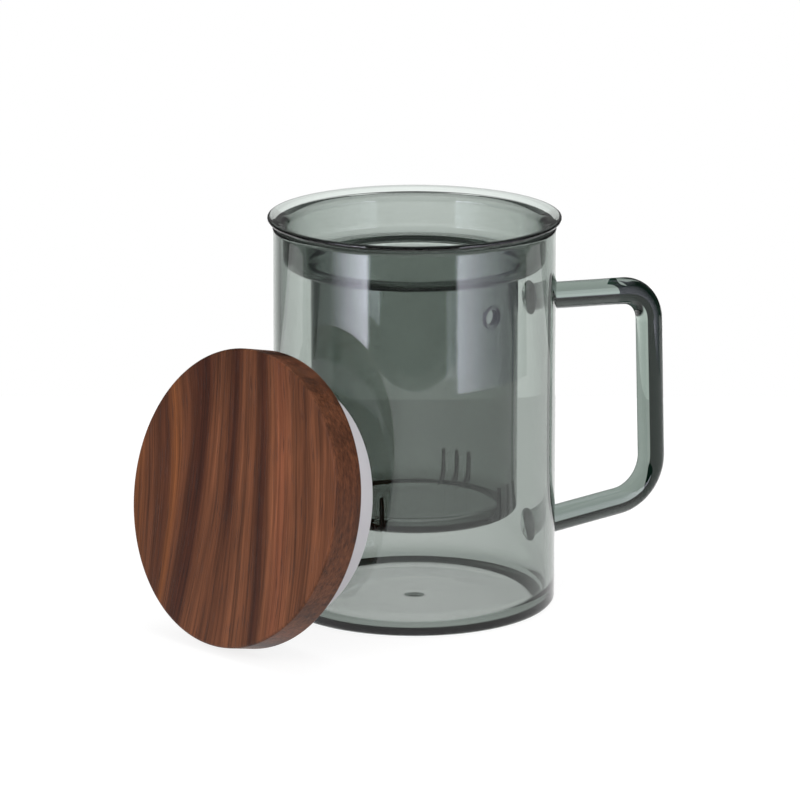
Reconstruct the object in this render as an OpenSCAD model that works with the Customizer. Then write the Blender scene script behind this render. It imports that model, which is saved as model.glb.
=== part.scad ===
// Lidded glass tea mug: mug with rod handle, glass infuser insert,
// walnut lid with silicone seal leaning against the wall.
// Origin: centre of the base on the table. +Z up, +X towards the handle.

/* [Mug] */

// outer diameter of the mug
mug_d = 85; // [70:0.5:100]
// height of the mug without the infuser
mug_h = 116.1; // [90:0.1:140]
// thickness of the mug wall
mug_wall = 2.5; // [1.8:0.1:4]
// thickness of the mug floor
mug_floor = 2.4; // [1.8:0.1:6]
// outer rounding at the heel
mug_heel = 2.2; // [1:0.1:5]
// inner rounding between wall and floor
mug_fillet = 3; // [1:0.1:6]
// radius of the low glass mark in the middle of the floor
mark_r = 3.2; // [1:0.1:6]
// height of that mark above the floor
mark_h = 0.5; // [0.2:0.1:1.5]

/* [Handle] */

// diameter of the glass rod
rod_d = 8.2; // [6:0.1:12]
// distance of the upper arm below the mug's rim, where it leaves the wall
arm_top_drop = 27.2; // [12:0.1:45]
// downward slope of the upper arm, in degrees
arm_top_slope = 3; // [0:0.5:10]
// height of the lower arm where it leaves the wall
arm_low_z = 17.4; // [10:0.1:40]
// upward slope of the lower arm, in degrees
arm_low_slope = 6.5; // [0:0.5:12]
// distance of the upper corner from the mug wall
grip_out = 39.4; // [30:0.1:55]
// outward lean of the grip towards its foot, in degrees
grip_lean = 1.8; // [0:0.1:6]
// centre-line radius of the upper bend
bend_top = 10; // [6:0.5:20]
// centre-line radius of the lower bend
bend_low = 13.5; // [6:0.5:24]
// widening of the foot where the rod is fused to the wall
foot_flare = 1.1; // [0.4:0.1:3]
// length of that flare
foot_l = 2.6; // [1:0.1:5]

/* [Infuser] */

// overhang of the flange past the mug wall
flange_over = 1.45; // [0.5:0.05:4]
// thickness of the flange
flange_t = 2.2; // [1.5:0.1:4]
// seat clearance between mug rim and flange
seat_gap = 0.3; // [0.1:0.05:0.5]
// clearance between the collar and the bore of the mug
collar_gap = 0.65; // [0.3:0.05:2]
// wall thickness of the infuser
glass_t = 1.8; // [1.4:0.1:3]
// length of the collar below the flange
collar_l = 12.9; // [9:0.1:30]
// outer rounding of the shoulder
shoulder_r = 4; // [2.2:0.1:6]
// step inwards from the collar to the steeping cylinder
steep_in = 8.3; // [6:0.1:16]
// depth of the infuser below the flange
steep_l = 88; // [50:0.5:105]
// outer rounding at the bottom of the cylinder
steep_r = 4; // [2.2:0.1:6]
// outer fillet between cylinder and shoulder
neck_fillet = 1.5; // [0.5:0.1:3]
// inner rounding between shoulder and cylinder
neck_round = 1; // [0.3:0.1:1.4]
// rounding of the mouth between flange and collar
mouth_round = 1.4; // [0.3:0.1:1.7]
// thickness of the infuser floor
steep_floor = 2; // [1.5:0.1:4]
// turn of the infuser about the mug axis, in degrees
infuser_turn = 34.5; // [0:0.5:90]

/* [Slits and vent] */

// number of slit groups
slit_groups = 4; // [2:1:6]
// slits in one group
slits_each = 3; // [1:1:5]
// angle between two slits of a group, in degrees
slit_pitch = 8.6; // [6:0.1:14]
// width of a slit
slit_w = 1.4; // [0.8:0.1:2.5]
// height the slits reach above the underside
slit_h = 11; // [5:0.5:30]
// length of a slit in the floor, from the outside of the cylinder
slit_l = 8.55; // [6:0.05:16]
// length of the pointed end of a slit
slit_point = 2.6; // [1:0.1:5]
// diameter of the vent hole
vent_d = 4.8; // [2:0.1:8]
// distance of the vent hole below the flange
vent_drop = 24; // [18:0.5:60]
// direction of the vent hole, in degrees
vent_turn = -72; // [-180:1:180]
// distance from the edge of the vent to the middle of its rounded lip
vent_lip = 0.9; // [0.5:0.1:3]
// bead radius of that lip
vent_bead = 0.8; // [0.4:0.1:1.2]

/* [Lid] */

// setback of the walnut disc's edge from the flange's edge
disc_in = 0.1; // [0:0.1:3]
// thickness of the disc
disc_t = 10.3; // [6:0.1:16]
// easing of the disc's edges
disc_ease = 0.8; // [0.3:0.1:3]
// setback of the turned plug's end from the seal's free edge
plug_in = 0.3; // [0:0.1:2]
// easing of the plug's end
plug_ease = 0.8; // [0.3:0.1:3]
// clearance between the silicone seal and the bore of the collar
seal_gap = 0.35; // [0.1:0.05:1]
// thickness of the seal round the plug
seal_t = 2.2; // [1.5:0.1:4]
// gap between the seated seal and the infuser's shelf
seal_lift = 1; // [0.5:0.1:4]
// rounding of the seal's free edge
seal_round = 1; // [0.3:0.1:1.5]
// depth of the seal's inner rib
rib_t = 1; // [0.4:0.1:2]
// width of that rib
rib_w = 3; // [1:0.1:6]
// distance of the rib from the disc
rib_z = 6; // [3:0.1:9]
// lean of the lid, in degrees from upright
lid_lean = 12.9; // [8:0.1:25]
// direction in which the lid stands, in degrees
lid_turn = -165.4; // [-180:0.1:180]
// clearance between seal and mug wall
lid_gap = 0.3; // [0.1:0.05:0.5]

/* [Hidden] */
$fn = 96;

mug_r = mug_d / 2;
rod_r = rod_d / 2;
foot_r = rod_r + foot_flare;
grip_r = mug_r + grip_out;
arm_top_z = mug_h - arm_top_drop;

flange_z = mug_h + seat_gap;
flange_r = mug_r + flange_over;
infuser_h = flange_z + flange_t;
collar_r = mug_r - mug_wall - collar_gap;
collar_ri = collar_r - glass_t;
shoulder_z = flange_z - collar_l;
shelf_z = shoulder_z + glass_t;
steep_ro = collar_r - steep_in;
steep_ri = steep_ro - glass_t;
steep_z = flange_z - steep_l;
vent_z = flange_z - vent_drop;
slit_in_r = steep_ro - slit_l;

disc_r = flange_r - disc_in;
seal_r = collar_ri - seal_gap;
seal_h = infuser_h - shelf_z - seal_lift;
plug_r = seal_r - seal_t;
plug_h = seal_h - plug_in;

// straight lengths reach into the bends by this much, a hair thicker
join = 0.3;
bar_r = rod_r + 0.02;

// handle corners: arm lines crossed with the grip line
top_turn = 90 - grip_lean - arm_top_slope;
low_turn = 90 + grip_lean - arm_low_slope;
top_in = bend_top * tan(top_turn / 2);
low_in = bend_low * tan(low_turn / 2);
top_z = arm_top_z - (grip_r - mug_r) * tan(arm_top_slope);
k_arm = tan(arm_low_slope);
k_grip = tan(grip_lean);
low_x = (grip_r + k_grip * (top_z - arm_low_z + mug_r * k_arm)) / (1 + k_grip * k_arm);
low_z = arm_low_z + (low_x - mug_r) * k_arm;
arm_top_l = (grip_r - mug_r) / cos(arm_top_slope) - top_in;
arm_low_l = (low_x - mug_r) / cos(arm_low_slope) - low_in;
grip_l = (top_z - low_z) / cos(grip_lean) - top_in - low_in;

// lid: the face centre's distance from the mug axis, and its height
lid_far = mug_r + lid_gap + (disc_t + seal_h - seal_round) * cos(lid_lean)
    + (seal_r - seal_round) * sin(lid_lean) + seal_round;
lid_high = (disc_t - disc_ease) * sin(lid_lean)
    + (disc_r - disc_ease) * cos(lid_lean) + disc_ease;

glass = [0.55, 0.62, 0.59, 0.4];
glass_dark = [0.25, 0.35, 0.31, 0.6];
walnut = [0.44, 0.26, 0.17];
silicone = [0.84, 0.84, 0.86];

// half profile from the axis to radius r, height h, foot rounded by c
module round_foot(r, h, c) {
    square([r - c, h]);
    translate([0, c]) square([r, h - c]);
    translate([r - c, c]) circle(c);
}

// what a round of radius c leaves of a square corner at the origin,
// the corner pointing to -X -Y
module corner_rest(c) {
    difference() {
        translate([-1, -1]) square([c + 1, c + 1]);
        translate([c, c]) circle(c);
    }
}

module mug_profile() {
    mark_big = (mark_r * mark_r + mark_h * mark_h) / (2 * mark_h);
    rim = mug_wall / 2;
    difference() {
        round_foot(mug_r, mug_h - rim, mug_heel);
        translate([0, mug_floor]) round_foot(mug_r - mug_wall, mug_h, mug_fillet);
    }
    intersection() {
        translate([mug_r - rim, mug_h - rim]) circle(rim);
        translate([0, mug_h - 2 * rim]) square([mug_r + 1, mug_wall]);
    }
    intersection() {
        translate([0, mug_floor + mark_h - mark_big]) circle(mark_big);
        translate([0, mug_floor - 1]) square([mark_r + 1, mark_h + 1]);
    }
}

module mug_body() {
    color(glass) rotate_extrude() mug_profile();
}

// arm of length l along +X, with the flared foot at the wall
module arm(l) {
    flare = foot_r - bar_r;
    rotate([0, 90, 0]) rotate_extrude()
        polygon([[0, -2], [foot_r, -2], [foot_r, 0.5], [bar_r + flare * 0.4, 0.5 + foot_l * 0.3],
            [bar_r + flare * 0.1, 0.5 + foot_l * 0.65], [bar_r, 0.5 + foot_l], [bar_r, l], [0, l]]);
}

// bend of the rod, starting at the local origin along +X and turning down
module bend_down(r, a) {
    translate([0, 0, -r]) rotate([90, 0, 0]) rotate([0, 0, 90 - a])
        rotate_extrude(angle = a) translate([r, 0]) circle(rod_r);
}

module handle() {
    color(glass_dark) difference() {
        union() {
            translate([mug_r, 0, arm_top_z]) rotate([0, arm_top_slope, 0]) {
                arm(arm_top_l + join);
                translate([arm_top_l, 0, 0]) bend_down(bend_top, top_turn);
            }
            translate([mug_r, 0, arm_low_z]) rotate([0, -arm_low_slope, 0]) {
                arm(arm_low_l + join);
                translate([arm_low_l, 0, 0]) mirror([0, 0, 1])
                    bend_down(bend_low, low_turn);
            }
            translate([grip_r, 0, top_z]) rotate([0, 180 - grip_lean, 0])
                translate([0, 0, top_in - join])
                    cylinder(r = bar_r, h = grip_l + 2 * join);
        }
        cylinder(r = mug_r, h = mug_h);
    }
}

module infuser_outline() {
    translate([0, flange_z]) square([flange_r - flange_t / 2, flange_t]);
    translate([flange_r - flange_t / 2, flange_z + flange_t / 2]) circle(flange_t / 2);
    translate([0, shoulder_z]) round_foot(collar_r, infuser_h - shoulder_z - 1, shoulder_r);
    translate([0, steep_z]) round_foot(steep_ro, shoulder_z - steep_z + 1, steep_r);
    translate([steep_ro, shoulder_z]) mirror([0, 1]) difference() {
        translate([-1, -1]) square([neck_fillet + 1, neck_fillet + 1]);
        translate([neck_fillet, neck_fillet]) circle(neck_fillet);
    }
}

module infuser_hollow() {
    shelf_round = max(shoulder_r - glass_t, 0.3);
    foot_round = max(steep_r - glass_t, 0.3);
    translate([0, shelf_z]) round_foot(collar_ri, infuser_h - shelf_z + 1, shelf_round);
    translate([0, steep_z + steep_floor]) round_foot(steep_ri, shelf_z - steep_z, foot_round);
    translate([collar_ri, infuser_h]) mirror([0, 1]) corner_rest(mouth_round);
    translate([steep_ri, shelf_z]) mirror([0, 1]) corner_rest(neck_round);
}

// one slit: up the wall and inwards through the floor, pointed at both ends
module slit() {
    top = slit_h + 1;
    low = steep_z - 1;
    half = slit_w / 2;
    wall_in = steep_ri - max(steep_r - glass_t, 0.3) - 0.5;
    out = steep_ro + 1;
    translate([wall_in, 0, low]) rotate([90, 0, 90]) linear_extrude(out - wall_in)
        polygon([[-half, 0], [half, 0], [half, top - slit_point], [0, top],
            [-half, top - slit_point]]);
    translate([0, 0, low]) linear_extrude(steep_floor + 2)
        polygon([[slit_in_r, 0], [slit_in_r + slit_point, half], [out, half],
            [out, -half], [slit_in_r + slit_point, -half]]);
}

module infuser() {
    color(glass) difference() {
        union() {
            rotate_extrude() difference() {
                infuser_outline();
                infuser_hollow();
            }
            rotate([0, 0, vent_turn]) translate([steep_ro, 0, vent_z]) rotate([0, 90, 0])
                rotate_extrude() translate([vent_d / 2 + vent_lip, 0]) circle(vent_bead);
        }
        for (g = [0 : slit_groups - 1], k = [0 : slits_each - 1])
            rotate([0, 0, infuser_turn + g * 360 / slit_groups
                + (k - (slits_each - 1) / 2) * slit_pitch]) slit();
        rotate([0, 0, vent_turn]) translate([steep_ri - 2, 0, vent_z]) rotate([0, 90, 0])
            cylinder(d = vent_d, h = glass_t + 4);
    }
}

// the lid's own frame: face centre at the origin, outward normal +Z
module lid_place() {
    rotate([0, 0, lid_turn]) translate([lid_far, 0, lid_high])
        rotate([0, 90 - lid_lean, 0]) children();
}

// half profile of a puck below z = 0, both edges rounded by c
module puck(r, h, c) {
    translate([0, -h]) square([r - c, h]);
    translate([0, c - h]) square([r, h - 2 * c]);
    translate([r - c, -c]) circle(c);
    translate([r - c, c - h]) circle(c);
}

module lid_disc() {
    color(walnut) lid_place() rotate_extrude() {
        puck(disc_r, disc_t, disc_ease);
        difference() {
            translate([0, 1 - disc_t]) puck(plug_r, plug_h + 1, plug_ease);
            translate([plug_r - rib_t, -disc_t - rib_z - rib_w / 2]) square([rib_t + 1, rib_w]);
        }
    }
}

module lid_seal() {
    color(silicone) lid_place() rotate_extrude() translate([0, -disc_t]) {
        translate([plug_r, seal_round - seal_h]) square([seal_r - plug_r, seal_h - seal_round]);
        translate([plug_r, -seal_h]) square([seal_r - plug_r - seal_round, seal_h]);
        translate([seal_r - seal_round, seal_round - seal_h]) circle(seal_round);
        translate([plug_r - rib_t, -rib_z - rib_w / 2]) square([rib_t + 1, rib_w]);
    }
}

mug_body();
handle();
infuser();
lid_disc();
lid_seal();
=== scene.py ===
"""Looks of the lidded glass tea mug: glass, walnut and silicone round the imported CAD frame.

Lengths in the tables are millimetres in the row frame; MM turns them into metres.
"""

import math

import bmesh
import bpy
from mathutils import Matrix, Vector


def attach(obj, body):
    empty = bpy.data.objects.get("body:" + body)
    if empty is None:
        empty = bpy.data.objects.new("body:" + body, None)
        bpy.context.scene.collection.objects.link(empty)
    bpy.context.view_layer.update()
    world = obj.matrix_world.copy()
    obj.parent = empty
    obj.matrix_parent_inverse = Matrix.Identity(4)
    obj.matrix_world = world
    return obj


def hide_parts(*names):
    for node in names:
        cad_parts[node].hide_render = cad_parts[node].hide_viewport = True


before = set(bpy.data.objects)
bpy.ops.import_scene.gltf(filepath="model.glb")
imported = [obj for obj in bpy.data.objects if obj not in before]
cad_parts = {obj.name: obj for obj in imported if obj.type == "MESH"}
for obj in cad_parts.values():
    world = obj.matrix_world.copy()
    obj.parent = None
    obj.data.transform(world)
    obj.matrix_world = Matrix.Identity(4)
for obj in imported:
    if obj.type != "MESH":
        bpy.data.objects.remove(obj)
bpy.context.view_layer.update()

MM = 0.001
TAU = 2 * math.pi

# ---------------------------------------------------------------- sizes
# R radius, RI inner radius, D diameter, L length, W width, H height, T thickness, Z height above the table.
MUG_R, MUG_H, MUG_WALL, MUG_FLOOR = 42.5, 116.1, 2.5, 1.2
MUG_HEEL, MUG_FILLET, MUG_RIM_R = 1.9, 6.0, 1.249
MARK_R, MARK_H, MARK_BLEND = 3.2, 0.5, 1.2
BASE_HOLLOW = ((0, 0.35), (20, 0.315), (33, 0.1575), (37.5, 0.06))  # radius and height under the base

ROD_R, FOOT_R, FOOT_L, FOOT_CURVE = 4.1, 5.2, 3.1, 2.4
FOOT_ON = MUG_R + 0.012  # radius the handle's feet end on, just clear of the wall they are fused to
ROD_SEG = 72
ARM_TOP_Z, ARM_TOP_SLOPE, ARM_LOW_Z, ARM_LOW_SLOPE = 88.9, 3.0, 17.4, 6.5
GRIP_X, GRIP_LEAN, BEND_TOP, BEND_LOW = 81.9, 1.8, 10.0, 13.5

FLANGE_R, FLANGE_T, FLANGE_Z = 43.95, 2.2, 116.4
LIP_R, LIP_SLOPE, LIP_DROP = 0.7, (41.8, 118.2), 0.7
FLARE_OUT, FLARE_IN = 2.0, 3.0
COLLAR_R, COLLAR_RI, COLLAR_OUT, COLLAR_IN = 39.35, 37.55, 4.0, 2.2
SHOULDER_Z, SHELF_Z, NECK_OUT, NECK_IN = 103.5, 105.3, 1.0, 2.8
STEEP_R, STEEP_RI, STEEP_Z, STEEP_FLOOR = 31.05, 29.25, 28.4, 1.2
STEEP_HEEL, STEEP_FILLET = 2.5, 5.0
VENT_Z, VENT_TURN, VENT_D, VENT_LIP, VENT_BEAD = 92.4, -72.0, 4.8, 3.2, 0.45
DRILL_REACH = 4.0  # half length of the cutter that opens the vent
SLIT_GROUPS, SLIT_TURN, SLIT_PITCH = 4, 34.5, 8.6
SLIT_W, SLIT_H, SLIT_IN, SLIT_EDGE = 0.3, 11.0, 22.5, 0.4
# How a slit runs to a point: distance from its end, and the share of its full width there.
SLIT_TAPER = ((0, 0.05), (0.5, 0.3), (1.3, 0.6), (2.6, 0.9))
SLIT_FULL = ((3.6, 1), (5.2, 1))

DISC_R, DISC_T, DISC_EASE = 43.85, 10.3, 0.8
PLUG_R, PLUG_H, SEAL_R, SEAL_TIP_R, SEAL_H, SEAL_ROUND = 35.0, 12.0, 37.2, 35.7, 12.3, 0.35
RIB_T, RIB_W, RIB_Z = 1.0, 3.0, 6.0
SEAL_GAP = 0.02  # between the seal and the wood it grips
LID_LEAN, LID_TURN, LID_FAR, LID_HIGH = 12.9, -165.4, 72.94, 44.88
LID_PLACE = (Matrix.Rotation(math.radians(LID_TURN), 4, "Z")
             @ Matrix.Translation((LID_FAR * MM, 0, LID_HIGH * MM))
             @ Matrix.Rotation(math.radians(90 - LID_LEAN), 4, "Y"))


# ---------------------------------------------------------------- mesh helpers
def arc(cx, cz, r, a0, a1, n):
    """Points of an arc round (cx, cz), angles in degrees."""
    out = []
    for i in range(n + 1):
        a = math.radians(a0 + (a1 - a0) * i / n)
        out.append((cx + r * math.cos(a), cz + r * math.sin(a)))
    return out


def dense(points, step=4.0, edge=0.3):
    """The same outline with support points near the ends of long segments."""
    out = [points[0]]
    for (x0, z0), (x1, z1) in zip(points, points[1:]):
        length = math.hypot(x1 - x0, z1 - z0)
        if length < 1e-6:
            continue
        marks = []
        if length > 3 * edge:
            inner = max(1, round((length - 2 * edge) / step))
            marks = [edge + (length - 2 * edge) * k / inner for k in range(inner + 1)]
        for m in marks:
            t = m / length
            out.append((x0 + (x1 - x0) * t, z0 + (z1 - z0) * t))
        out.append((x1, z1))
    return out


def link_object(name, bm):
    """New object of the scene with the mesh of bm, which is freed."""
    me = bpy.data.meshes.new(name)
    bm.to_mesh(me)
    bm.free()
    obj = bpy.data.objects.new(name, me)
    bpy.context.scene.collection.objects.link(obj)
    return obj


def finish_mesh(name, bm, sharp=None):
    """Smooth object with consistent normals; edges above the angle sharp, in degrees, stay crisp."""
    bmesh.ops.recalc_face_normals(bm, faces=bm.faces)
    obj = link_object(name, bm)
    for p in obj.data.polygons:
        p.use_smooth = True
    if sharp is not None:
        obj.data.set_sharp_from_angle(angle=math.radians(sharp))
    return obj


def on_ring(r, z, k, seg):
    """Place of vertex k of seg on a ring of radius r at height z, both in mm."""
    turn = TAU * k / seg
    return r * MM * math.cos(turn), r * MM * math.sin(turn), z * MM


def bridge(bm, a, b):
    """Faces between two rings of vertices; a ring of one vertex is a pole."""
    seg = max(len(a), len(b))
    for k in range(seg):
        n = (k + 1) % seg
        if len(a) == 1:
            bm.faces.new((a[0], b[k], b[n]))
        elif len(b) == 1:
            bm.faces.new((a[k], b[0], a[n]))
        else:
            bm.faces.new((a[k], b[k], b[n], a[n]))


def lathe_bm(outline, seg, closed=False):
    """Surface of revolution of an outline in mm; ends on the axis become poles."""
    bm = bmesh.new()
    rings = []
    for r, z in outline:
        places = [(0, 0, z * MM)] if r < 1e-6 else [on_ring(r, z, k, seg) for k in range(seg)]
        rings.append([bm.verts.new(co) for co in places])
    for a, b in zip(rings, rings[1:]):
        bridge(bm, a, b)
    if closed:
        bridge(bm, rings[-1], rings[0])
    return bm


def apply_boolean(obj, cutter, operation):
    """Join the cutter to obj or take it away from it; the cutter is dropped."""
    mod = obj.modifiers.new("cut", "BOOLEAN")
    mod.object, mod.operation, mod.solver = cutter, operation, "EXACT"
    dg = bpy.context.evaluated_depsgraph_get()
    me = bpy.data.meshes.new_from_object(obj.evaluated_get(dg))
    obj.modifiers.clear()
    old, obj.data = obj.data, me
    me.name = obj.name
    bpy.data.meshes.remove(old)
    bpy.data.objects.remove(cutter)


def baked(obj, matrix):
    """The same object with its mesh moved to its place."""
    obj.data.transform(matrix)
    return obj


# ---------------------------------------------------------------- node helpers
def new_material(name):
    """Material, node tree, Principled BSDF and output node."""
    mat = bpy.data.materials.new(name)
    mat.use_nodes = True
    nt = mat.node_tree
    return mat, nt, nt.nodes["Principled BSDF"], nt.nodes["Material Output"]


def add(nt, kind, **values):
    """New node; each value sets a property of that name, or else an input."""
    node = nt.nodes.new(kind)
    for key, value in values.items():
        if hasattr(node, key):
            setattr(node, key, value)
        else:
            node.inputs[key.replace("_", " ")].default_value = value
    return node


def math_node(nt, op, a, b=None, c=None, clamp=False):
    """Output of a Math node; its arguments are numbers or sockets."""
    node = nt.nodes.new("ShaderNodeMath")
    node.operation, node.use_clamp = op, clamp
    for slot, value in enumerate((a, b, c)):
        if value is None:
            continue
        if isinstance(value, (int, float)):
            node.inputs[slot].default_value = value
        else:
            nt.links.new(value, node.inputs[slot])
    return node.outputs[0]


def ramp(nt, source, stops):
    """Colour ramp over source; a stop is a position with a colour or a grey level."""
    node = nt.nodes.new("ShaderNodeValToRGB")
    el = node.color_ramp.elements
    while len(el) > 1:
        el.remove(el[-1])
    el[0].position = stops[0][0]
    for k, (pos, level) in enumerate(stops):
        mark = el.new(pos) if k else el[0]
        mark.color = (*level, 1) if isinstance(level, tuple) else (level, level, level, 1)
    nt.links.new(source, node.inputs[0])
    return node.outputs[0]


def srgb(*rgb):
    """Linear colour of 8-bit sRGB values."""
    return tuple((c / 255 / 12.92) if c <= 10.3 else ((c / 255 + 0.055) / 1.055) ** 2.4 for c in rgb)


# ---------------------------------------------------------------- materials
def glass_material(name, density, tint, wave):
    """Clear dielectric with the smoke tint in its volume, so thick glass is darker.

    The wave is the scale, strength and height of the blown glass's faint unevenness.
    """
    mat, nt, bsdf, out = new_material(name)
    bsdf.inputs["Base Color"].default_value = (1, 1, 1, 1)
    bsdf.inputs["Roughness"].default_value = 0.0
    bsdf.inputs["IOR"].default_value = 1.47
    bsdf.inputs["Transmission Weight"].default_value = 1.0
    vol = nt.nodes.new("ShaderNodeVolumeAbsorption")
    vol.inputs["Color"].default_value = (*tint, 1)
    vol.inputs["Density"].default_value = density
    nt.links.new(vol.outputs[0], out.inputs["Volume"])
    coord = nt.nodes.new("ShaderNodeTexCoord")
    noise = add(nt, "ShaderNodeTexNoise", Scale=wave[0], Detail=1.0, Roughness=0.4)
    nt.links.new(coord.outputs["Object"], noise.inputs["Vector"])
    bump = add(nt, "ShaderNodeBump", Strength=wave[1], Distance=wave[2])
    nt.links.new(noise.outputs["Fac"], bump.inputs["Height"])
    nt.links.new(bump.outputs[0], bsdf.inputs["Normal"])
    return mat


# Walnut tones, from the darkest growth lines to the pale wood between them.
DEEP, DARK, MID = srgb(60, 30, 18), srgb(72, 40, 25), srgb(90, 53, 34)
PALE, RUDDY, AMBER = srgb(107, 65, 43), srgb(116, 68, 46), srgb(106, 62, 34)
# Where each tone sits across the grain, in mm from the lid's middle.
STREAKS = ((-45, AMBER), (-37, MID), (-31.5, DARK), (-29, DARK), (-26, AMBER), (-23, MID), (-20, DARK),
           (-17, DEEP), (-14, DEEP), (-11.5, MID), (-8, PALE), (-5.5, MID), (-3.5, DARK), (-1.5, DEEP),
           (0.8, DARK), (3, PALE), (6.5, PALE), (9, MID), (11, DARK), (12.6, DEEP), (14.2, DARK),
           (17, PALE), (21.5, RUDDY), (27, PALE), (31, MID), (36, PALE), (45, MID))
# Where the streaks run out into the mid tone towards one end of the grain, and how far at most.
RUN_OUT = ((-11, 0), (-6, 1), (3, 1), (6, 0))
RUN_OUT_SHARE = 0.8
# How far the streaks lean, in mm across per mm along, at places across the board; their common bow;
# and their slant through the board, in mm across per mm of depth.
LEAN = ((-45, 0.20), (-33, 0.20), (-17, 0.05), (-2, 0.11), (14, 0.20), (45, 0.14))
BOW, SLANT = 1.9, 0.12
BOARD = 90  # mm of board that the tables above span, from -45 to 45


def across_ramp(nt, across, rows):
    """Ramp over a distance across the grain, in metres; its rows are in mm from the lid's middle."""
    place_across = math_node(nt, "MULTIPLY_ADD", across, 1 / (BOARD * MM), 0.5)
    return ramp(nt, place_across, [(v / BOARD + 0.5, level) for v, level in rows])


def grain_noise(nt, source, scale, detail, rough, stretch, shift=0.0, distortion=0.0):
    """Noise over source, stretched along, across and through the board."""
    placed = add(nt, "ShaderNodeMapping")
    placed.inputs["Location"].default_value = (shift, shift * 0.7, shift * 1.3)
    placed.inputs["Scale"].default_value = stretch
    nt.links.new(source, placed.inputs["Vector"])
    noise = add(nt, "ShaderNodeTexNoise", Scale=scale, Detail=detail, Roughness=rough, Distortion=distortion)
    nt.links.new(placed.outputs[0], noise.inputs["Vector"])
    return noise.outputs["Fac"]


def centred(nt, value, gain, base=0.0):
    """Base plus gain times what a noise value is above its middle."""
    return math_node(nt, "MULTIPLY_ADD", math_node(nt, "SUBTRACT", value, 0.5), gain, base)


def board_vectors(nt):
    """Position and normal in the lid's own frame: X along the grain, Y across it, Z through the board."""
    coord = nt.nodes.new("ShaderNodeTexCoord")
    unlean = LID_PLACE.inverted()
    board = add(nt, "ShaderNodeMapping", vector_type="POINT")
    board.inputs["Location"].default_value = unlean.to_translation()
    board.inputs["Rotation"].default_value = unlean.to_euler()
    nt.links.new(coord.outputs["Object"], board.inputs["Vector"])
    facing = add(nt, "ShaderNodeMapping", vector_type="VECTOR")
    facing.inputs["Rotation"].default_value = unlean.to_euler()
    nt.links.new(coord.outputs["Normal"], facing.inputs["Vector"])
    return board.outputs[0], facing.outputs[0]


def straightened(nt, board, along, across, depth):
    """Place across the streaks: their lean and bow are taken out, and slow noise is added back."""
    lean = across_ramp(nt, across, LEAN)
    straight = math_node(nt, "SUBTRACT", across, math_node(nt, "MULTIPLY", lean, along))
    straight = math_node(nt, "MULTIPLY_ADD", math_node(nt, "MULTIPLY", along, along), BOW, straight)
    straight = math_node(nt, "MULTIPLY_ADD", depth, SLANT, straight)
    slow = grain_noise(nt, board, 1.0, 2.0, 0.5, (14.0, 60.0, 40.0), 3.1)
    return centred(nt, slow, 0.0035, straight)


def streak_colour(nt, along, across, straight):
    """Tones of the streaks; the middle ones run out towards one end of the board."""
    at_end = math_node(nt, "MULTIPLY_ADD", along, 45.0, 0.1, clamp=True)
    ends = math_node(nt, "MULTIPLY", across_ramp(nt, across, RUN_OUT), at_end)
    run_out = add(nt, "ShaderNodeMix", data_type="RGBA")
    nt.links.new(math_node(nt, "MULTIPLY", ends, RUN_OUT_SHARE), run_out.inputs["Factor"])
    nt.links.new(across_ramp(nt, straight, STREAKS), run_out.inputs[6])
    run_out.inputs[7].default_value = (*MID, 1)
    return run_out.outputs[2]


def wood_tone(nt, board, flow, facing, along, fibre, pore):
    """Brightness round the streak tones: growth lines, fibre, mottle, the speckled rim and the pores."""
    streaks = grain_noise(nt, flow, 1.0, 4.0, 0.62, (9.0, 420.0, 240.0), 7.7, 0.25)
    fine = grain_noise(nt, flow, 1.0, 3.0, 0.6, (22.0, 1250.0, 900.0), 2.4, 0.1)
    mottle = grain_noise(nt, board, 1.0, 2.0, 0.5, (45.0, 120.0, 60.0), 9.2)
    tone = centred(nt, streaks, 2.1, 1.04)
    tone = centred(nt, fine, 1.7, tone)
    tone = centred(nt, fibre, 1.1, tone)
    tone = centred(nt, mottle, 0.6, tone)
    normal = nt.nodes.new("ShaderNodeSeparateXYZ")
    nt.links.new(facing, normal.inputs[0])
    flank = math_node(nt, "SUBTRACT", 1.0, math_node(nt, "ABSOLUTE", normal.outputs[2]), clamp=True)
    speckle = centred(nt, grain_noise(nt, board, 1.0, 3.0, 0.65, (500.0, 900.0, 1500.0), 4.4), 1.7)
    tone = math_node(nt, "MULTIPLY_ADD", math_node(nt, "MULTIPLY", flank, speckle), tone, tone)
    tone = math_node(nt, "MULTIPLY", tone, math_node(nt, "MULTIPLY_ADD", flank, -0.15, 1.0))
    darker_end = math_node(nt, "MINIMUM", math_node(nt, "MULTIPLY_ADD", along, 9.0, 1.13), 0.98)
    tone = math_node(nt, "MULTIPLY", tone, darker_end)
    return math_node(nt, "MULTIPLY", tone, math_node(nt, "MULTIPLY_ADD", pore, -0.5, 1.0))


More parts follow.
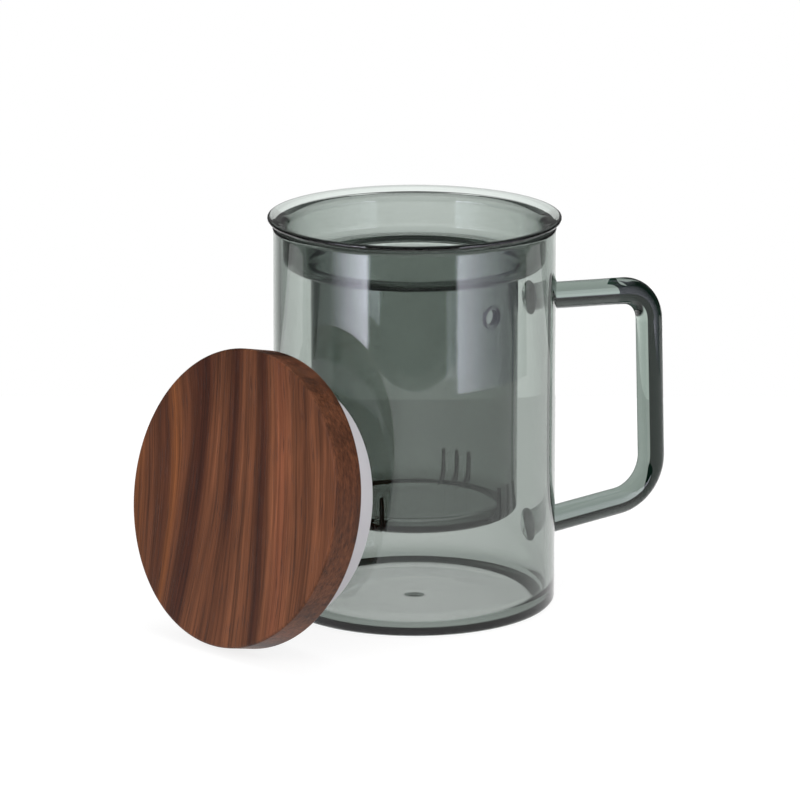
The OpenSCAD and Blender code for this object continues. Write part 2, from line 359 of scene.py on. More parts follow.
def walnut_material():
    """Oiled walnut in the lid's own frame: streaks across the grain with fibre, pores and a speckled rim."""
    mat, nt, bsdf, out = new_material("walnut_oiled")
    link = nt.links.new
    board, facing = board_vectors(nt)
    sep = nt.nodes.new("ShaderNodeSeparateXYZ")
    link(board, sep.inputs[0])
    along, across, depth = sep.outputs
    straight = straightened(nt, board, along, across, depth)
    flow = nt.nodes.new("ShaderNodeCombineXYZ")
    for slot, value in enumerate((along, straight, depth)):
        link(value, flow.inputs[slot])
    flow = flow.outputs[0]
    fibre = grain_noise(nt, flow, 1.0, 3.0, 0.65, (45.0, 2300.0, 1900.0), 1.3)
    pores = grain_noise(nt, flow, 1.0, 1.0, 0.5, (130.0, 2500.0, 2300.0), 5.9)
    pore = math_node(nt, "MULTIPLY", math_node(nt, "SUBTRACT", pores, 0.62), 8.0, clamp=True)
    shaded = add(nt, "ShaderNodeVectorMath", operation="SCALE")
    link(streak_colour(nt, along, across, straight), shaded.inputs[0])
    link(wood_tone(nt, board, flow, facing, along, fibre, pore), shaded.inputs["Scale"])
    link(shaded.outputs[0], bsdf.inputs["Base Color"])
    link(math_node(nt, "MULTIPLY_ADD", fibre, 0.16, 0.38), bsdf.inputs["Roughness"])
    bsdf.inputs["Specular IOR Level"].default_value = 0.2
    height = math_node(nt, "SUBTRACT", math_node(nt, "MULTIPLY", fibre, 0.3), pore)
    bump = add(nt, "ShaderNodeBump", Strength=0.4, Distance=0.00014)
    link(height, bump.inputs["Height"])
    link(bump.outputs[0], bsdf.inputs["Normal"])
    return mat


def silicone_material():
    """Pale translucent silicone, matt, with a very fine texture."""
    mat, nt, bsdf, out = new_material("silicone_translucent")
    link = nt.links.new
    coord = nt.nodes.new("ShaderNodeTexCoord")
    noise = add(nt, "ShaderNodeTexNoise", Scale=60.0, Detail=2.0)
    link(coord.outputs["Object"], noise.inputs["Vector"])
    colour = ramp(nt, noise.outputs["Fac"], [(0.3, srgb(208, 206, 212)), (0.7, srgb(216, 214, 219))])
    link(colour, bsdf.inputs["Base Color"])
    bsdf.inputs["Roughness"].default_value = 0.42
    bsdf.inputs["IOR"].default_value = 1.41
    bsdf.inputs["Subsurface Weight"].default_value = 0.5
    bsdf.inputs["Subsurface Radius"].default_value = (1.0, 0.95, 1.0)
    bsdf.inputs["Subsurface Scale"].default_value = 0.003
    fine = add(nt, "ShaderNodeTexNoise", Scale=4200.0, Detail=1.0)
    link(coord.outputs["Object"], fine.inputs["Vector"])
    bump = add(nt, "ShaderNodeBump", Strength=0.12, Distance=0.00003)
    link(fine.outputs["Fac"], bump.inputs["Height"])
    link(bump.outputs[0], bsdf.inputs["Normal"])
    return mat


def painted_shade_edge_material():
    """Painted shade on the cut faces of the smoke glass, where the slits and the vent are cut: a dark colour
    in place of the darkness these edges show, since little light comes out of them.
    """
    mat, nt, bsdf, out = new_material("infuser_painted_shade_edge")
    bsdf.inputs["Base Color"].default_value = (*srgb(22, 32, 29), 1)
    bsdf.inputs["Roughness"].default_value = 0.4
    bsdf.inputs["Specular IOR Level"].default_value = 0.2
    return mat


MUG_GLASS = glass_material("mug_smoke_glass", 270.0, (0.19, 0.265, 0.22), (22.0, 0.15, 0.0002))
ROD_GLASS = glass_material("rod_smoke_glass", 240.0, (0.19, 0.29, 0.235), (60.0, 0.2, 0.0002))
INFUSER_GLASS = glass_material("infuser_smoke_glass", 480.0, (0.185, 0.25, 0.21), (26.0, 0.15, 0.0002))
# painted shade: a dark colour on the slit flanks and the vent's bore stands in for the darkness of these
# glass edges
PAINTED_SHADE_EDGE = painted_shade_edge_material()
WALNUT = walnut_material()
SILICONE = silicone_material()


def place(obj, material, body, slot_name, *nodes):
    """Give a piece its material, hide the CAD nodes it replaces and attach it to its body; slot_name is not
    used.
    """
    obj.data.materials.clear()
    obj.data.materials.append(material)
    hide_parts(*nodes)
    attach(obj, body)
    return obj


# ---------------------------------------------------------------- mug body
def mug_outline():
    """Half section of the mug, from the middle of its base out, up and back to the middle of its floor."""
    rim = MUG_RIM_R
    inner = MUG_R - MUG_WALL
    big = (MARK_R ** 2 + MARK_H ** 2) / (2 * MARK_H)  # the mark's dome is part of a circle this large
    half = math.degrees(math.asin(MARK_R / big))
    pts = [*BASE_HOLLOW, (MUG_R - MUG_HEEL, 0)]
    pts += arc(MUG_R - MUG_HEEL, MUG_HEEL, MUG_HEEL, -90, 0, 14)[1:]
    pts += arc(MUG_R - rim, MUG_H - rim, rim, 0, 90, 12)
    pts += arc(inner + rim, MUG_H - rim, rim, 90, 180, 12)
    pts += arc(inner - MUG_FILLET, MUG_FLOOR + MUG_FILLET, MUG_FILLET, 0, -90, 24)
    pts += [(MARK_R + MARK_BLEND, MUG_FLOOR), (MARK_R + MARK_BLEND / 3, MUG_FLOOR + 0.02)]
    pts += arc(0, MUG_FLOOR + MARK_H - big, big, 90 - half * 0.96, 90, 8)[:-1]
    pts += [(0, MUG_FLOOR + MARK_H)]
    return dense(pts)


mug_body = finish_mesh("mug_glass_body", lathe_bm(mug_outline(), 256))
place(mug_body, MUG_GLASS, "mug", "mug_glass", "mug_body")


# ---------------------------------------------------------------- handle
def handle_path():
    """Centre line as (x, z, tangent angle in degrees), from the upper foot to the lower one."""
    # the lines of the arms and the grip cross at corners; each bend takes its share off the lengths between
    top_turn = 90 - GRIP_LEAN - ARM_TOP_SLOPE
    low_turn = 90 + GRIP_LEAN - ARM_LOW_SLOPE
    top_in = BEND_TOP * math.tan(math.radians(top_turn / 2))
    low_in = BEND_LOW * math.tan(math.radians(low_turn / 2))
    t_top, t_low, t_grip = (math.radians(a) for a in (ARM_TOP_SLOPE, ARM_LOW_SLOPE, GRIP_LEAN))
    top_z = ARM_TOP_Z - (GRIP_X - MUG_R) * math.tan(t_top)
    k_arm, k_grip = math.tan(t_low), math.tan(t_grip)
    low_x = (GRIP_X + k_grip * (top_z - ARM_LOW_Z + MUG_R * k_arm)) / (1 + k_grip * k_arm)
    low_z = ARM_LOW_Z + (low_x - MUG_R) * k_arm
    arm_top_l = (GRIP_X - MUG_R) / math.cos(t_top) - top_in
    arm_low_l = (low_x - MUG_R) / math.cos(t_low) - low_in
    grip_l = (top_z - low_z) / math.cos(t_grip) - top_in - low_in
    x, z, a = MUG_R, ARM_TOP_Z, -ARM_TOP_SLOPE
    pts = [(x, z, a)]

    def straight(length, n):
        nonlocal x, z
        for _ in range(n):
            x += length / n * math.cos(math.radians(a))
            z += length / n * math.sin(math.radians(a))
            pts.append((x, z, a))

    def bend(radius, turn, n):
        nonlocal x, z, a
        for _ in range(n):
            step = turn / n
            chord = 2 * radius * math.sin(math.radians(step / 2))
            x += chord * math.cos(math.radians(a - step / 2))
            z += chord * math.sin(math.radians(a - step / 2))
            a -= step
            pts.append((x, z, a))

    straight(arm_top_l, 44)
    bend(BEND_TOP, top_turn, 28)
    straight(grip_l, 60)
    bend(BEND_LOW, low_turn, 32)
    straight(arm_low_l, 44)
    return pts


def rod_ring(bm, x, z, angle, radius):
    """Ring of the rod round (x, z); what would lie in the mug is moved out to its wall."""
    tilt = math.radians(angle)
    nx, nz = -math.sin(tilt), math.cos(tilt)
    ring = []
    for k in range(ROD_SEG):
        c, s = math.cos(TAU * k / ROD_SEG) * radius, math.sin(TAU * k / ROD_SEG) * radius
        px, py, pz = x + nx * c, s, z + nz * c
        if math.hypot(px, py) < FOOT_ON:
            px = math.sqrt(max(FOOT_ON * FOOT_ON - py * py, 0))
        ring.append(bm.verts.new((px * MM, py * MM, pz * MM)))
    return ring


def rod_end(bm, ring, mid_z):
    """Close a foot with ever smaller rings that follow the mug's round wall."""
    last = ring
    for share in (0.96, 0.8, 0.6, 0.4, 0.2):
        new = []
        for v in ring:
            py, pz = v.co.y / MM * share, mid_z + (v.co.z / MM - mid_z) * share
            new.append(bm.verts.new((math.sqrt(FOOT_ON * FOOT_ON - py * py) * MM, py * MM, pz * MM)))
        for k in range(ROD_SEG):
            n = (k + 1) % ROD_SEG
            bm.faces.new((last[k], last[n], new[n], new[k]))
        last = new
    mid = bm.verts.new((FOOT_ON * MM, 0, mid_z * MM))
    for k in range(ROD_SEG):
        bm.faces.new((last[k], last[(k + 1) % ROD_SEG], mid))


def handle_mesh():
    """Rod along the handle's path, flared at both feet."""
    path = handle_path()
    total = [0.0]
    for p, q in zip(path, path[1:]):
        total.append(total[-1] + math.hypot(q[0] - p[0], q[1] - p[1]))
    bm = bmesh.new()
    rings = []
    for (x, z, angle), far in zip(path, total):
        to_foot = min(far, total[-1] - far)
        flare = max(0.0, 1 - to_foot / FOOT_L) ** FOOT_CURVE
        rings.append(rod_ring(bm, x, z, angle, ROD_R + (FOOT_R - ROD_R) * flare))
    for a, b in zip(rings, rings[1:]):
        bridge(bm, a, b)
    rod_end(bm, rings[0], path[0][1])
    rod_end(bm, rings[-1], path[-1][1])
    return bm


handle = finish_mesh("handle_glass_rod", handle_mesh(), sharp=50)
place(handle, ROD_GLASS, "mug", "handle_glass", "handle")


# ---------------------------------------------------------------- infuser
def infuser_outline():
    """Half section of the infuser, from under its floor out and up to the lip, and back down inside."""
    top = FLANGE_Z + FLANGE_T
    pts = [(0, STEEP_Z)]
    pts += arc(STEEP_R - STEEP_HEEL, STEEP_Z + STEEP_HEEL, STEEP_HEEL, -90, 0, 12)
    pts += arc(STEEP_R + NECK_OUT, SHOULDER_Z - NECK_OUT, NECK_OUT, 180, 90, 12)
    pts += arc(COLLAR_R - COLLAR_OUT, SHOULDER_Z + COLLAR_OUT, COLLAR_OUT, -90, 0, 16)
    pts += arc(COLLAR_R + FLARE_OUT, FLANGE_Z - FLARE_OUT, FLARE_OUT, 180, 100, 12)
    pts += arc(FLANGE_R - LIP_R, top - LIP_R, LIP_R, -65, 105, 18)
    pts += [LIP_SLOPE]
    pts += arc(COLLAR_RI + FLARE_IN, LIP_SLOPE[1] - LIP_DROP - FLARE_IN, FLARE_IN, 115, 180, 24)
    pts += arc(COLLAR_RI - COLLAR_IN, SHELF_Z + COLLAR_IN, COLLAR_IN, 0, -90, 16)
    pts += arc(STEEP_RI + NECK_IN, SHELF_Z - NECK_IN, NECK_IN, 90, 180, 16)
    pts += arc(STEEP_RI - STEEP_FILLET, STEEP_Z + STEEP_FLOOR + STEEP_FILLET, STEEP_FILLET, 0, -90, 16)
    return dense(pts + [(0, STEEP_Z + STEEP_FLOOR)])


def slit_path():
    """Middle line of a slit as (r, z, normal angle, half width), from its top down and in along the floor."""
    wall = (STEEP_R + STEEP_RI) / 2
    floor = STEEP_Z + STEEP_FLOOR / 2
    bend = (STEEP_HEEL + STEEP_FILLET) / 2
    steps = 8
    top = STEEP_Z + SLIT_H
    half = SLIT_W / 2
    pts = [(wall, top - d, 0, half * w) for d, w in SLIT_TAPER + SLIT_FULL]
    for i in range(steps + 1):
        angle = -90 * i / steps
        c, s = math.cos(math.radians(angle)), math.sin(math.radians(angle))
        pts.append((wall - bend + bend * c, floor + bend + bend * s, angle, half))
    pts += [(SLIT_IN + d, floor, -90, half * w) for d, w in reversed(SLIT_TAPER)]
    return pts


def slit_cutter(bm, turn):
    """Cutter of one slit with fire-polished edges: narrow in the wall's middle, flared at both faces."""
    soft, flat = SLIT_EDGE, (STEEP_R - STEEP_RI) / 2 - SLIT_EDGE
    rise = [math.sin(math.radians(a)) for a in (0, 30, 55, 78)]
    outer = [flat + soft * r for r in rise]
    outer += [flat + soft + 0.05, flat + soft + 1.3]  # well past the face of the wall
    depth = [-v for v in reversed(outer)] + outer
    rings = []
    for r, z, normal, half in slit_path():
        c, s = math.cos(math.radians(normal)), math.sin(math.radians(normal))
        into = [min(max(abs(v) - flat, 0), soft) for v in depth]
        flank = [(v, half + soft - math.sqrt(max(soft * soft - d * d, 0))) for v, d in zip(depth, into)]
        loop = flank + [(v, -w) for v, w in reversed(flank)]
        spots = [((r + v * c) * MM, w * MM, (z + v * s) * MM) for v, w in loop]
        rings.append([bm.verts.new(turn @ Vector(co)) for co in spots])
    n = len(rings[0])
    bm.faces.new(rings[0])
    bm.faces.new(rings[-1][::-1])
    for a, b in zip(rings, rings[1:]):
        for k in range(n):
            bm.faces.new((a[k], a[(k + 1) % n], b[(k + 1) % n], b[k]))


def slit_cutters():
    """All cutters of the slits, three to a group."""
    bm = bmesh.new()
    for group in range(SLIT_GROUPS):
        for k in (-1, 0, 1):
            turn = SLIT_TURN + group * 360 / SLIT_GROUPS + k * SLIT_PITCH
            slit_cutter(bm, Matrix.Rotation(math.radians(turn), 4, "Z"))
    return finish_mesh("slit_cutters", bm)


VENT_PLACE = (Matrix.Rotation(math.radians(VENT_TURN), 4, "Z")
              @ Matrix.Translation((STEEP_R * MM, 0, VENT_Z * MM))
              @ Matrix.Rotation(math.radians(90), 4, "Y"))
VENT_IN = VENT_PLACE.inverted()


def infuser_piece():
    """Turned glass with the vent's bead joined on and the vent and the slits cut out."""
    obj = finish_mesh("infuser_glass", lathe_bm(infuser_outline(), 224))
    bead = lathe_bm(arc(VENT_LIP, 0, VENT_BEAD, 0, 342, 19), 72, closed=True)
    apply_boolean(obj, baked(finish_mesh("vent_lip", bead), VENT_PLACE), "UNION")
    r, reach = VENT_D / 2, DRILL_REACH
    drill = lathe_bm([(0, -reach), (r, -reach), (r, reach), (0, reach)], 72)
    apply_boolean(obj, baked(finish_mesh("vent_drill", drill), VENT_PLACE), "DIFFERENCE")
    apply_boolean(obj, slit_cutters(), "DIFFERENCE")
    for poly in obj.data.polygons:
        poly.use_smooth = True
    obj.data.set_sharp_from_angle(angle=math.radians(28))
    return obj


def is_slit_flank(poly):
    """True for a face near a slit whose normal is turned round the axis, as only a slit's flanks are."""
    reach = SLIT_W / 2 + SLIT_EDGE + 0.05
    apart = 360 / SLIT_GROUPS
    x, y, z = (c / MM for c in poly.center)
    turn = (math.degrees(math.atan2(y, x)) - SLIT_TURN + apart / 2) % apart - apart / 2
    off = turn - SLIT_PITCH * max(-1, min(1, round(turn / SLIT_PITCH)))
    beside = math.hypot(x, y) * abs(math.sin(math.radians(off))) < reach
    radial = Vector((x, y, 0)).normalized()
    sideways = abs(poly.normal.cross(radial).z)
    return z < STEEP_Z + SLIT_H and beside and sideways > 0.25


def is_vent_bore(poly):
    """True for a face of the vent's bore."""
    bore = (VENT_IN @ poly.center) / MM
    return abs(bore.z) < DRILL_REACH and bore.xy.length < VENT_D / 2 + 0.04


def paint_shade_on_cuts(obj):
    """Give the flanks of the slits and the bore of the vent the painted-shade material, a dark colour in
    place of the darkness these glass edges show.
    """
    obj.data.materials.append(PAINTED_SHADE_EDGE)
    for poly in obj.data.polygons:
        if is_slit_flank(poly) or is_vent_bore(poly):
            poly.material_index = 1


infuser = infuser_piece()
place(infuser, INFUSER_GLASS, "infuser", "infuser_glass", "infuser")
paint_shade_on_cuts(infuser)


# ---------------------------------------------------------------- lid
def disc_outline():
    """Half section of the wood, with its face at z = 0: plug with the seal's groove, then the disc."""
    e = DISC_EASE
    z1, z2 = -DISC_T, -DISC_T - PLUG_H
    rib0, rib1 = z1 - RIB_Z + RIB_W / 2, z1 - RIB_Z - RIB_W / 2
    pts = [(0, z2)] + arc(PLUG_R - e, z2 + e, e, -90, 0, 6)
    pts += [(PLUG_R, rib1), (PLUG_R - RIB_T, rib1), (PLUG_R - RIB_T, rib0), (PLUG_R, rib0), (PLUG_R, z1)]
    pts += arc(DISC_R - e, z1 + e, e, -90, 0, 8) + arc(DISC_R - e, -e, e, 0, 90, 8)
    return dense(pts + [(0, 0)], 5.0, 0.2)


def seal_outline():
    """Closed section of the silicone ring, with the rib that sits in the plug's groove."""
    gap, cut, ease = SEAL_GAP, 0.1, 0.3
    z1, z2 = -DISC_T - gap, -DISC_T - SEAL_H
    rib0, rib1 = -DISC_T - RIB_Z + RIB_W / 2 - gap, -DISC_T - RIB_Z - RIB_W / 2 + gap
    inner, rib_in = PLUG_R + gap, PLUG_R - RIB_T + gap
    pts = [(inner, z2 + cut), (inner + cut, z2)]
    pts += arc(SEAL_TIP_R - SEAL_ROUND, z2 + SEAL_ROUND, SEAL_ROUND, -90, 0, 8)
    pts += arc(SEAL_R - ease, z1 - ease, ease, 0, 90, 4)
    pts += [(inner, z1), (inner, rib0), (rib_in, rib0), (rib_in, rib1), (inner, rib1)]
    return dense(pts + [(inner, z2 + cut)], 3.0, 0.2)[:-1]


lid_disc = finish_mesh("lid_walnut_disc", lathe_bm(disc_outline(), 224), sharp=40)
baked(lid_disc, LID_PLACE)
place(lid_disc, WALNUT, "lid", "walnut", "lid_disc")
lid_seal = finish_mesh("lid_silicone_seal", lathe_bm(seal_outline(), 192, closed=True), sharp=40)
baked(lid_seal, LID_PLACE)
place(lid_seal, SILICONE, "lid", "silicone", "lid_seal")


# ---------------------------------------------------------------- camera
CAM_TURN = math.radians(-28.5)  # the view's azimuth about Z
CAM_TILT = math.radians(14.40)
CAM_TARGET = Vector((-3.80, 2.06, 61.64)) * MM
CAM_LENS, CAM_SENSOR = 224.46, 36.0
CAM_DISTANCE = 1.5  # metres


def direction(azimuth, elevation):
    """Unit vector at an azimuth from -Y towards +X and an elevation, in radians."""
    flat = math.cos(elevation)
    return Vector((math.sin(azimuth) * flat, -math.cos(azimuth) * flat, math.sin(elevation)))


def build_camera():
    """Long lens on the fitted line of sight."""
    data = bpy.data.cameras.new("camera")
    data.sensor_width, data.lens = CAM_SENSOR, CAM_LENS
    data.clip_start, data.clip_end = 0.05, 20.0
    obj = bpy.data.objects.new("camera", data)
    bpy.context.scene.collection.objects.link(obj)
    back = direction(CAM_TURN, CAM_TILT)
    obj.location = CAM_TARGET + back * CAM_DISTANCE
    obj.rotation_mode = "QUATERNION"
    obj.rotation_quaternion = (-back).to_track_quat("-Z", "Y")
    bpy.context.scene.camera = obj


build_camera()


# ---------------------------------------------------------------- floor
FLOOR_SIDE, FLOOR_REAR, FLOOR_FRONT, FLOOR_BOW, FLOOR_Z = 520, 244, -337, 1170, -0.15
FLOOR_SEEN, FLOOR_GLASS, FLOOR_LIGHT = 0.82, 0.90, 0.22  # glow to the camera, to glass and to other rays
BOXES_AT, BOXES_SPREAD = 65, 33  # degrees to either side of the camera where the side softboxes stand
TABLE_CLEAR = 330  # how far out glass sees the table there


def floor_glow(nt, path, through):
    """Strength of the table's glow for the kind of ray."""
    camera_ray = path.outputs["Is Camera Ray"]
    level = math_node(nt, "MULTIPLY_ADD", camera_ray, FLOOR_SEEN - FLOOR_LIGHT, FLOOR_LIGHT)
    return math_node(nt, "MULTIPLY_ADD", through, FLOOR_GLASS - FLOOR_LIGHT, level)


def under_softboxes(nt):
    """1 on the outer table at the side softboxes, 0 elsewhere."""
    coord = nt.nodes.new("ShaderNodeTexCoord")
    sep = nt.nodes.new("ShaderNodeSeparateXYZ")
    nt.links.new(coord.outputs["Object"], sep.inputs[0])
    x, y = sep.outputs[0], sep.outputs[1]
    azimuth = math_node(nt, "ABSOLUTE", math_node(nt, "ARCTAN2", x, math_node(nt, "MULTIPLY", y, -1.0)))
    beside = math_node(nt, "COMPARE", azimuth, math.radians(BOXES_AT), math.radians(BOXES_SPREAD))
    reach = math_node(nt, "SQRT", math_node(nt, "MULTIPLY_ADD", x, x, math_node(nt, "MULTIPLY", y, y)))
    return math_node(nt, "MULTIPLY", beside, math_node(nt, "GREATER_THAN", reach, TABLE_CLEAR * MM))


def floor_material():
    """White that glows; glossy and transmitted rays pass the outer table at the side softboxes."""
    mat, nt, bsdf, out = new_material("floor_white")
    link = nt.links.new
    bsdf.inputs["Base Color"].default_value = (0.25, 0.25, 0.25, 1)
    bsdf.inputs["Roughness"].default_value = 1.0
    bsdf.inputs["Specular IOR Level"].default_value = 0.0
    bsdf.inputs["Emission Color"].default_value = (1, 1, 1, 1)
    path = nt.nodes.new("ShaderNodeLightPath")
    through = math_node(nt, "MAXIMUM", path.outputs["Is Glossy Ray"], path.outputs["Is Transmission Ray"])
    link(floor_glow(nt, path, through), bsdf.inputs["Emission Strength"])
    clear = nt.nodes.new("ShaderNodeBsdfTransparent")
    mix = nt.nodes.new("ShaderNodeMixShader")
    link(math_node(nt, "MULTIPLY", under_softboxes(nt), through), mix.inputs[0])
    link(bsdf.outputs[0], mix.inputs[1])
    link(clear.outputs[0], mix.inputs[2])
    link(mix.outputs[0], out.inputs["Surface"])
    return mat


def floor_stage():
    """White table top, square to the view, with its front edge a shallow arc."""
    bm = bmesh.new()
    outline = [(FLOOR_SIDE, FLOOR_REAR), (-FLOOR_SIDE, FLOOR_REAR)]
    for k in range(13):
        x = FLOOR_SIDE * (k / 6 - 1)
        outline.append((x, FLOOR_FRONT + FLOOR_BOW - math.sqrt(FLOOR_BOW * FLOOR_BOW - x * x)))
    bm.faces.new([bm.verts.new((x * MM, y * MM, FLOOR_Z * MM)) for x, y in outline])
    obj = finish_mesh("studio_floor", bm)
    obj.matrix_world = Matrix.Rotation(CAM_TURN, 4, "Z")
    obj.data.materials.append(floor_material())
    return obj


floor_stage()


# ---------------------------------------------------------------- studio cards
# Seen from above, the black card lies on the line from FLAG_NEAR to FLAG_FAR.
# Its outline holds shares of that line and heights.
FLAG_NEAR, FLAG_FAR = (62, 40), (78.5, 99)
FLAG_OUTLINE = ((-0.05, 26), (0.4, 20), (1, 14), (1, 200), (-0.5, 200), (-0.35, 95), (0.2, 80), (-0.05, 68))
FLAG_COLOUR, FLAG_LIGHT = (0.003, 0.03, 0.018), 1.0
CARD_R, CARD_Z, CARD_SEG = 110, 150, 48
CARD_COLOUR, CARD_LIGHT = (0.9, 1, 0.95), 0.5


def one_sided(name, colour, strength, from_behind):
    """Glow on one side of a face; from the other side it is clear."""
    mat, nt, bsdf, out = new_material(name)
    nt.nodes.remove(bsdf)
    geo = nt.nodes.new("ShaderNodeNewGeometry")
    clear = nt.nodes.new("ShaderNodeBsdfTransparent")
    glow = nt.nodes.new("ShaderNodeEmission")
    glow.inputs["Color"].default_value = (*colour, 1)
    glow.inputs["Strength"].default_value = strength
    mix = nt.nodes.new("ShaderNodeMixShader")
    front, back = (clear, glow) if from_behind else (glow, clear)
    nt.links.new(geo.outputs["Backfacing"], mix.inputs[0])
    nt.links.new(front.outputs[0], mix.inputs[1])
    nt.links.new(back.outputs[0], mix.inputs[2])
    nt.links.new(mix.outputs[0], out.inputs["Surface"])
    return mat


def studio_card(name, corners, material):
    """Flat card that only glass and sheen see."""
    bm = bmesh.new()
    bm.faces.new([bm.verts.new(co) for co in corners])
    obj = link_object(name, bm)
    obj.data.materials.append(material)
    obj.visible_camera = obj.visible_diffuse = obj.visible_shadow = False
    return obj


def handle_flag():
    """Black card, edge on to the view, that the grip shows in its outer half; clear from the mug's side."""
    (x0, y0), (x1, y1) = FLAG_NEAR, FLAG_FAR
    corners = [((x0 + (x1 - x0) * s) * MM, (y0 + (y1 - y0) * s) * MM, z * MM) for s, z in FLAG_OUTLINE]
    obj = studio_card("handle_flag", corners, one_sided("flag_black", FLAG_COLOUR, FLAG_LIGHT, False))
    obj.matrix_world = Matrix.Rotation(CAM_TURN, 4, "Z")
    return obj


def mouth_card():
    """White card over the mouth, seen by glass from below, that brightens the flared lip."""
    corners = [on_ring(CARD_R, CARD_Z, k, CARD_SEG) for k in range(CARD_SEG)]
    return studio_card("mouth_card", corners, one_sided("card_white", CARD_COLOUR, CARD_LIGHT, True))


handle_flag()
mouth_card()


# ---------------------------------------------------------------- world
# Strengths of what glass and wood sheen see.
BACK, WALLS, BOX_LEFT, BOX_RIGHT, BOX_TOP, STRIP_TOP = 1.8, 1.0, 8.0, 5.0, 1.2, 5.0
DARK_SINGLE, DARK_NESTED = 0.03, 0.07  # the rest of the room, through one piece of glass and otherwise
ROOM_DIFFUSE = 0.55  # white light on diffuse surfaces
BOX_COLOUR = (0.97, 0.96, 1.12)
# The strip overhead, in parts of a ray's direction: half its width, and its middle and half its depth.
STRIP_HALF, STRIP_MID, STRIP_DEEP = 0.13, -0.16, 0.14
# Profiles as (degrees, level). Azimuths are 0 towards the camera and positive to its right.
BACK_FADE = ((8, 1), (15, 0.8), (25, 0.62), (35, 0.35), (50, 0.08), (80, 0))  # away from straight behind
BACK_SINGLE = ((82, 0), (92, 1), (180, 1))  # the backdrop's wider right half, through one piece of glass
BACK_LOW = ((-90, 0.8), (-13.2, 0.833), (-12.2, 1), (-7, 1), (-4, 0))
BACK_HIGH = ((2, 0), (14, 0.1), (26, 0.08), (50, 0))
WALLS_ROUND = ((-170, 0), (-150, 1), (-105, 1), (-85, 0), (85, 0), (105, 1), (150, 1), (170, 0))
WALLS_UP = ((-4, 0), (4, 1), (45, 1), (60, 0))
LEFT_ROUND = ((-100, 0), (-72, 0.04), (-54, 0.55), (-39, 1), (-37.5, 0))
RIGHT_ROUND = ((34.5, 0), (35.5, 1), (50, 0.6), (60, 0.38), (80, 0.15), (100, 0))
BOXES_UP = ((-60, 0.3), (-25, 1), (25, 1), (50, 0))
TOP_UP = ((40, 0), (55, 0.8), (90, 1))


def sky_vectors(nt):
    """Direction of a ray in the view's frame, and its azimuth and elevation, each mapped to 0..1."""
    coord = nt.nodes.new("ShaderNodeTexCoord")
    turn = add(nt, "ShaderNodeVectorRotate", rotation_type="Z_AXIS")
    turn.inputs["Angle"].default_value = -CAM_TURN
    nt.links.new(coord.outputs["Generated"], turn.inputs["Vector"])
    sep = nt.nodes.new("ShaderNodeSeparateXYZ")
    nt.links.new(turn.outputs[0], sep.inputs[0])
    x, y, z = sep.outputs
    azimuth = math_node(nt, "ARCTAN2", x, math_node(nt, "MULTIPLY", y, -1.0))
    azimuth = math_node(nt, "MULTIPLY_ADD", azimuth, 0.5 / math.pi, 0.5)
    height = math_node(nt, "MULTIPLY_ADD", math_node(nt, "ARCSINE", z), 1 / math.pi, 0.5)
    return x, y, z, azimuth, height


def round_ramp(nt, azimuth, profile):
    """Level by azimuth, -180 to 180 degrees."""
    return ramp(nt, azimuth, [(a / 360 + 0.5, v) for a, v in profile])


def up_ramp(nt, height, profile):
    """Level by elevation, -90 to 90 degrees."""
    return ramp(nt, height, [(e / 180 + 0.5, v) for e, v in profile])


def backdrop(nt, path, azimuth, height):
    """Bright wall behind the object, side walls that show through nested glass only, and the dark rest."""
    single = math_node(nt, "COMPARE", path.outputs["Transmission Depth"], 2.0, 0.1)
    nested = math_node(nt, "SUBTRACT", path.outputs["Is Transmission Ray"], single, clamp=True)
    wide = math_node(nt, "MULTIPLY", single, round_ramp(nt, azimuth, BACK_SINGLE))
    from_left = [(a - 180, v) for a, v in BACK_FADE]
    from_right = [(180 - a, v) for a, v in reversed(BACK_FADE)]
    behind = round_ramp(nt, azimuth, [(-180, 1)] + from_left + from_right + [(180, 1)])
    behind = math_node(nt, "MAXIMUM", wide, behind)
    tall = math_node(nt, "ADD", up_ramp(nt, height, BACK_LOW), up_ramp(nt, height, BACK_HIGH))
    level = math_node(nt, "MULTIPLY", behind, math_node(nt, "MULTIPLY", tall, BACK))
    walls = math_node(nt, "MULTIPLY", round_ramp(nt, azimuth, WALLS_ROUND), up_ramp(nt, height, WALLS_UP))
    level = math_node(nt, "MULTIPLY_ADD", math_node(nt, "MULTIPLY", walls, nested), WALLS, level)
    dark = math_node(nt, "MULTIPLY_ADD", single, DARK_SINGLE - DARK_NESTED, DARK_NESTED)
    return math_node(nt, "ADD", level, dark)


def studio_boxes(nt, path, x, y, z, azimuth, height):
    """Two side softboxes, one overhead for reflections, and a narrow strip above."""
    left = math_node(nt, "MULTIPLY", round_ramp(nt, azimuth, LEFT_ROUND), BOX_LEFT)
    right = math_node(nt, "MULTIPLY", round_ramp(nt, azimuth, RIGHT_ROUND), BOX_RIGHT)
    boxes = math_node(nt, "MULTIPLY", math_node(nt, "ADD", left, right), up_ramp(nt, height, BOXES_UP))
    above = math_node(nt, "MULTIPLY", up_ramp(nt, height, TOP_UP), path.outputs["Is Reflection Ray"])
    boxes = math_node(nt, "MULTIPLY_ADD", above, BOX_TOP, boxes)
    strip = math_node(nt, "LESS_THAN", math_node(nt, "ABSOLUTE", x), STRIP_HALF)
    strip = math_node(nt, "MULTIPLY", strip, math_node(nt, "COMPARE", y, STRIP_MID, STRIP_DEEP))
    strip = math_node(nt, "MULTIPLY", strip, math_node(nt, "GREATER_THAN", z, 0.0))
    return math_node(nt, "MULTIPLY_ADD", strip, STRIP_TOP, boxes)


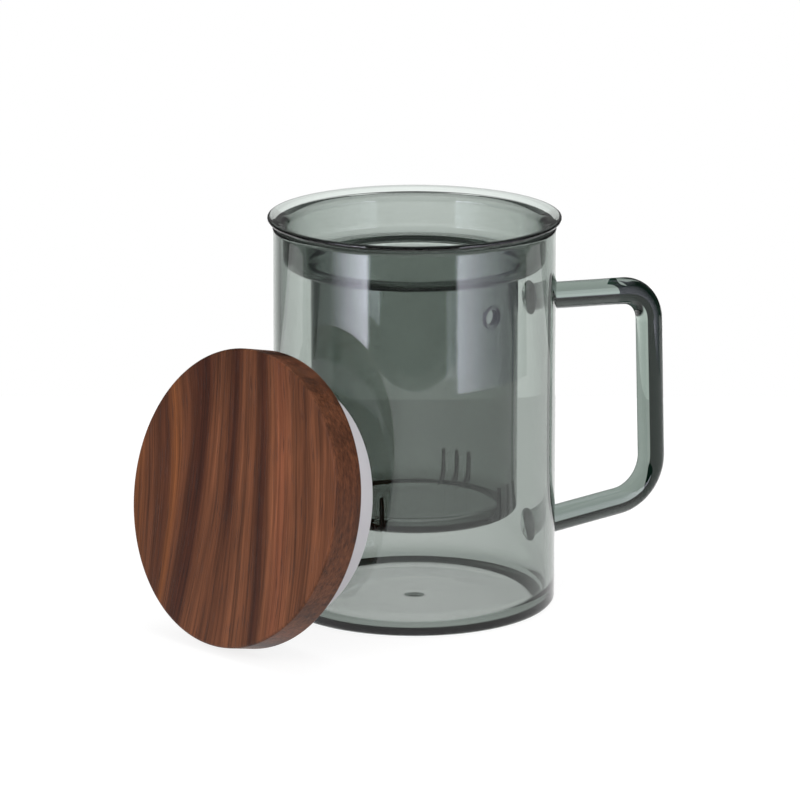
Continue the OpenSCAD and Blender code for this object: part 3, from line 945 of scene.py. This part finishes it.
def build_world():
    """White to the camera; glass and wood sheen see the studio, and diffuse surfaces an even white."""
    world = bpy.data.worlds.new("studio")
    bpy.context.scene.world = world
    world.use_nodes = True
    nt = world.node_tree
    link = nt.links.new
    nt.nodes.clear()
    out = nt.nodes.new("ShaderNodeOutputWorld")
    path = nt.nodes.new("ShaderNodeLightPath")
    x, y, z, azimuth, height = sky_vectors(nt)
    seen = math_node(nt, "MAXIMUM", path.outputs["Is Glossy Ray"], path.outputs["Is Transmission Ray"])
    back = backdrop(nt, path, azimuth, height)
    level = math_node(nt, "MULTIPLY_ADD", seen, back, path.outputs["Is Camera Ray"])
    level = math_node(nt, "MULTIPLY_ADD", path.outputs["Is Diffuse Ray"], ROOM_DIFFUSE, level)
    plain = nt.nodes.new("ShaderNodeBackground")
    plain.inputs["Color"].default_value = (1, 1, 1, 1)
    link(level, plain.inputs["Strength"])
    cool = nt.nodes.new("ShaderNodeBackground")
    cool.inputs["Color"].default_value = (*BOX_COLOUR, 1)
    boxes = studio_boxes(nt, path, x, y, z, azimuth, height)
    link(math_node(nt, "MULTIPLY", seen, boxes), cool.inputs["Strength"])
    both = nt.nodes.new("ShaderNodeAddShader")
    link(plain.outputs[0], both.inputs[0])
    link(cool.outputs[0], both.inputs[1])
    link(both.outputs[0], out.inputs["Surface"])
    world.cycles.sampling_method = "NONE"


build_world()


# ---------------------------------------------------------------- lamps
LAMP_AIM_Z = 60  # height that the lamps are aimed at


def softbox(name, azimuth, elevation, distance, size, power):
    """Area lamp aimed at the object, in degrees from the camera to its right and up, metres and watts."""
    data = bpy.data.lights.new(name, "AREA")
    data.shape, data.size, data.size_y, data.energy = "RECTANGLE", size[0], size[1], power
    obj = bpy.data.objects.new(name, data)
    bpy.context.scene.collection.objects.link(obj)
    way = direction(math.radians(azimuth), math.radians(elevation))
    way = Matrix.Rotation(CAM_TURN, 3, "Z") @ way
    obj.location = Vector((0, 0, LAMP_AIM_Z * MM)) + way * distance
    obj.rotation_mode = "QUATERNION"
    obj.rotation_quaternion = way.to_track_quat("Z", "Y")
    obj.visible_camera = obj.visible_glossy = obj.visible_transmission = False
    return obj


softbox("softbox_left", -50, 20, 1.3, (0.7, 1.1), 9.0)
softbox("softbox_right", 55, 25, 1.3, (0.7, 1.0), 5.0)
softbox("softbox_top", 170, 70, 1.2, (0.9, 0.9), 5.0)

# the glass casts no shadow, since the table in the photograph shows almost none
for piece in (mug_body, handle, infuser):
    piece.visible_shadow = False

scene = bpy.context.scene
scene.view_settings.view_transform = "Standard"
# enough for rays that cross both glasses and are thrown to and fro inside their walls
scene.cycles.max_bounces = 40
scene.cycles.transmission_bounces = 40
scene.cycles.glossy_bounces = 16
